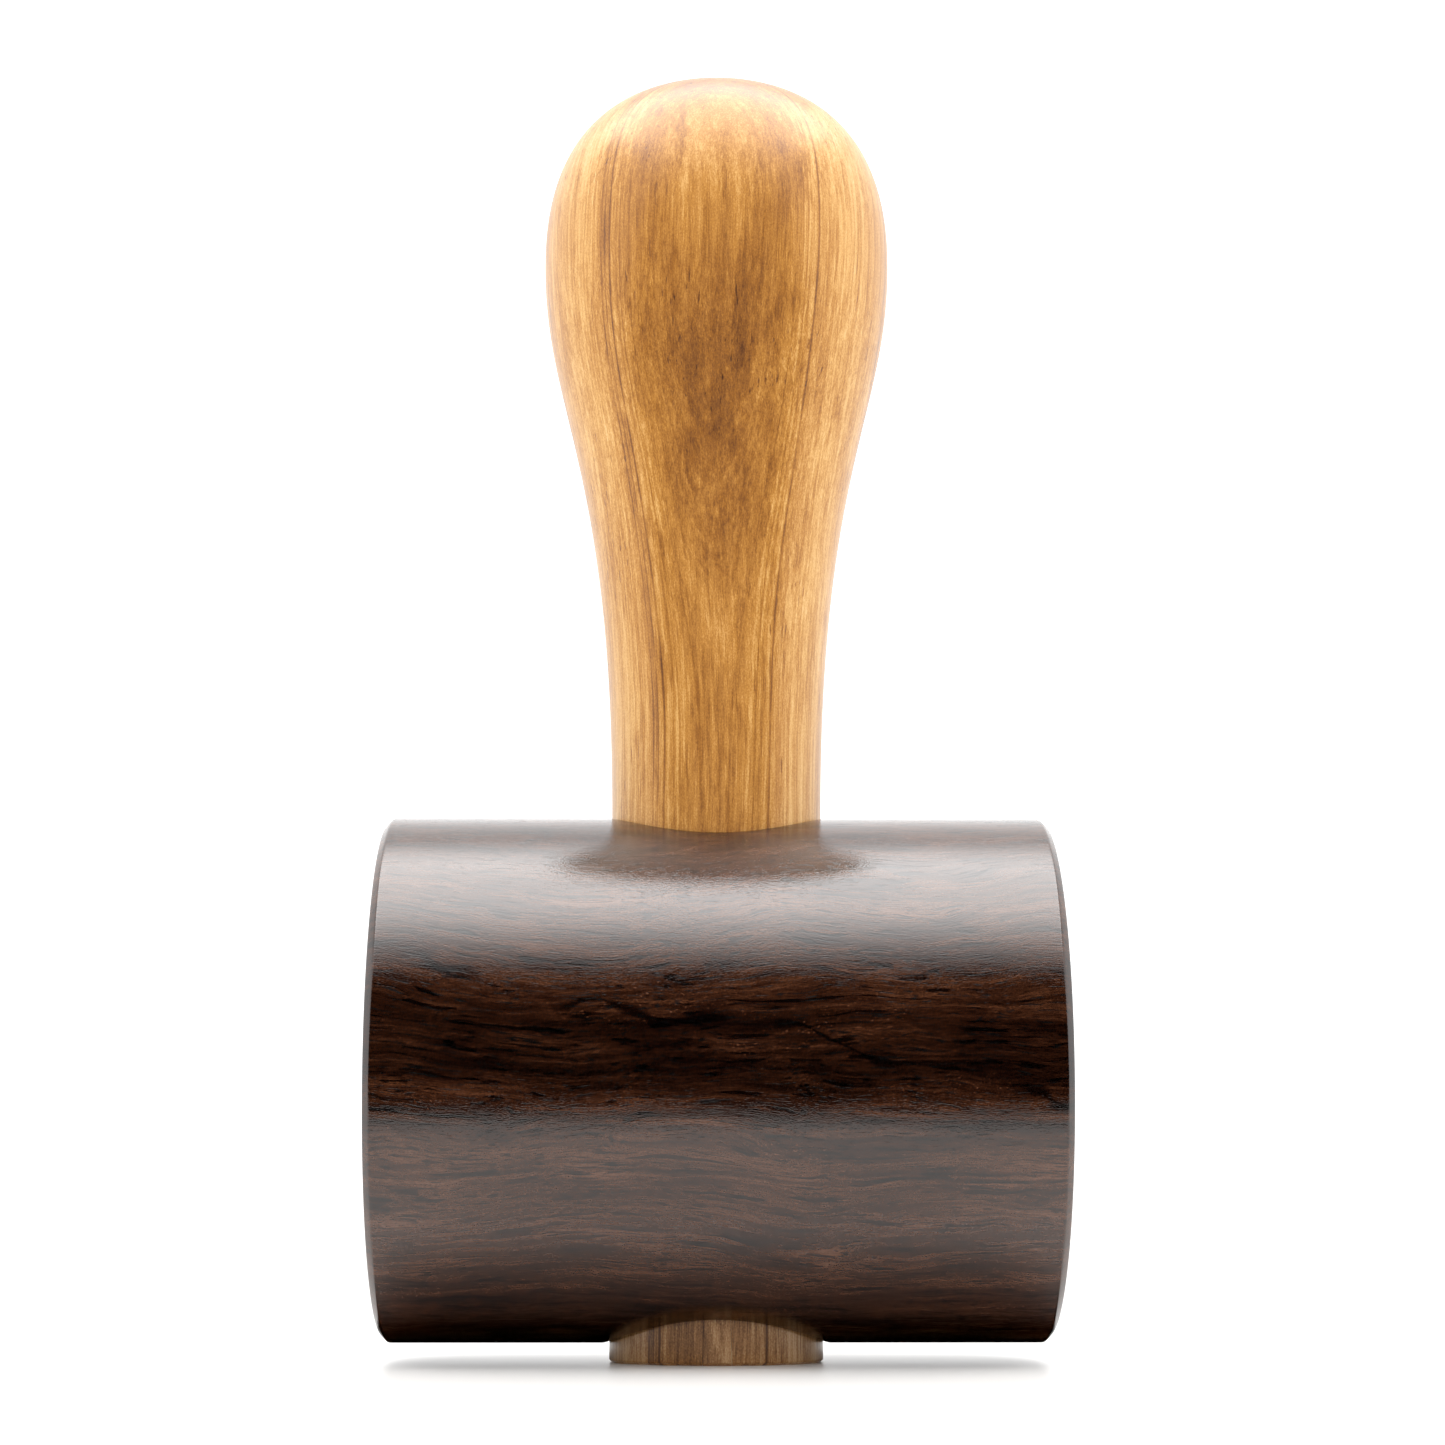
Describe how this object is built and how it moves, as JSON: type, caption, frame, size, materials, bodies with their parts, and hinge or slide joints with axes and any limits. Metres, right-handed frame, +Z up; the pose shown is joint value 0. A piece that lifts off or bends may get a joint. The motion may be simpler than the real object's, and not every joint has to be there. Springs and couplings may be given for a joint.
{
  "type": "wooden mallet",
  "caption": "Short joiner's mallet: dark hardwood barrel head lying across a turned palm-grip handle, whose wedged through-tenon stands proud below as a foot.",
  "frame": {"origin": "middle of the foot's flat end, the plane that the mallet stands on", "axes": "+Z up the handle from the foot to the palm end, X along the head from one striking face to the other, Y across the head"},
  "size_m": [0.0964, 0.076, 0.1915],
  "materials": {
    "head_wood": "near-black to reddish-brown fine-grained hardwood, polished under a glossy clear finish, grain along the head",
    "handle_wood": "golden olive wood with a darker flame figure, oiled to a satin sheen, grain along the handle",
    "wedge_wood": "plain olive wood, sawn and trimmed flush, no polish"
  },
  "bodies": {
    "root": {"head": "head_wood", "handle": "handle_wood", "wedge": "wedge_wood"}
  },
  "joints": []
}
